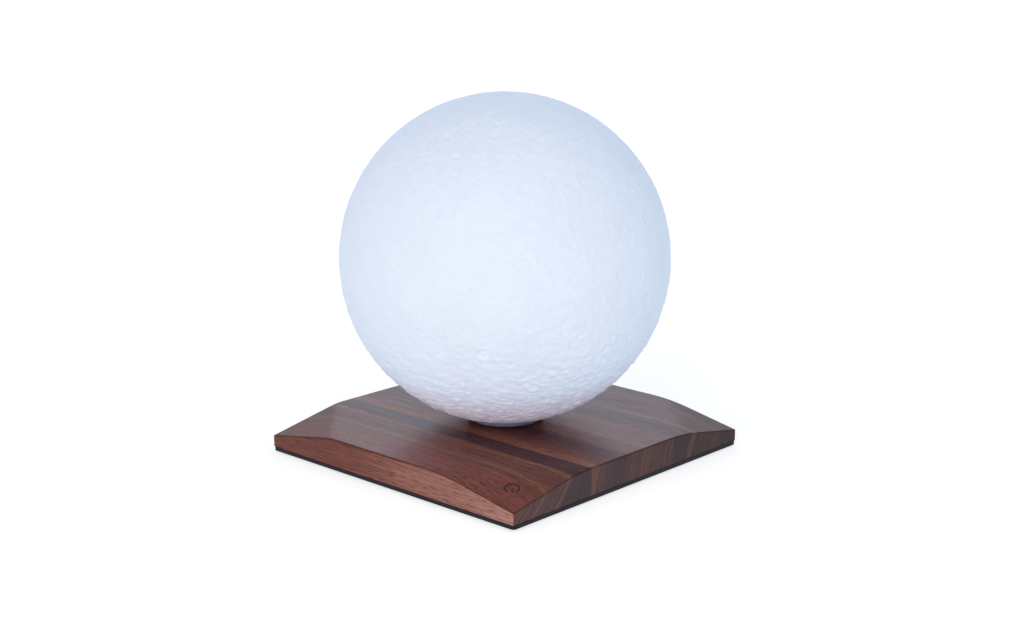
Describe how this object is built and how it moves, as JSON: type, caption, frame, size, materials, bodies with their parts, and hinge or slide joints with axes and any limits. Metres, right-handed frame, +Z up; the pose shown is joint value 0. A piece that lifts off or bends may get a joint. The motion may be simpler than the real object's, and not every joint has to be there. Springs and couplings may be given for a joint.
{
  "type": "moon lamp",
  "caption": "Levitating moon lamp: a lit printed moon shell that lifts off and turns over a square walnut base with sloping corners and a touch spot.",
  "frame": {"origin": "on the surface that the lamp stands on, under the middle of the base", "axes": "+Z up, +Y towards the side with the power inlet, the touch spot between +X and -Y"},
  "size_m": [0.18, 0.18, 0.1966],
  "materials": {
    "moon_print": "printed in thin layers, cratered, lit cool white from inside",
    "cap_plastic": "smooth satin",
    "white_plastic": "moulded",
    "magnet_nickel": "nickel plated",
    "copper": "enamelled copper",
    "ferrite": "sintered",
    "steel": "zinc plated",
    "board_green": "solder mask",
    "board_white": "white solder mask",
    "led": "clear over phosphor",
    "chip_black": "moulded",
    "capacitor_can": "sleeved can",
    "walnut": "satin oil",
    "plate_black": "satin",
    "foot_rubber": "matt",
    "insert_brass": "turned",
    "jack_black": "moulded",
    "wire_red": "insulated wire"
  },
  "bodies": {
    "base": {"coil_bobbins": "white_plastic", "sensor_post": "white_plastic", "touch_header": "white_plastic", "base_magnets": "magnet_nickel", "transmitter_coil": "copper", "coil_windings": "copper", "touch_pad": "copper", "power_inductor": "ferrite", "coil_cores": "steel", "magnet_yoke": "steel", "plate_screws": "steel", "board_screws": "steel", "jack_pin": "steel", "main_board": "board_green", "sensor_board": "board_green", "hall_sensors": "chip_black", "controller_chip": "chip_black", "driver_transistors": "chip_black", "capacitors": "capacitor_can", "walnut_block": "walnut", "bottom_plate": "plate_black", "feet": "foot_rubber", "plate_inserts": "insert_brass", "jack_housing": "jack_black", "touch_wire": "wire_red"},
    "float": {"float_magnet": "magnet_nickel"},
    "moon": {"moon_shell": "moon_print", "collar_ring": "white_plastic", "float_cup": "cap_plastic", "magnet_cage": "white_plastic", "magnet_keeper": "white_plastic", "receiver_coil": "copper", "receiver_ferrite": "ferrite", "receiver_board": "board_green", "receiver_chips": "chip_black", "low_posts": "steel", "high_posts": "steel", "led_board": "board_white", "leds": "led", "stack_screws": "steel"}
  },
  "joints": [
    {"name": "moon_lift", "type": "slide", "parent": "base", "child": "float", "axis": [0, 0, 1], "range_m": [0, 0.06]},
    {"name": "moon_spin", "type": "hinge", "parent": "float", "child": "moon", "pos_m": [0, 0, 0.0268], "axis": [0, 0, 1], "continuous": true}
  ]
}
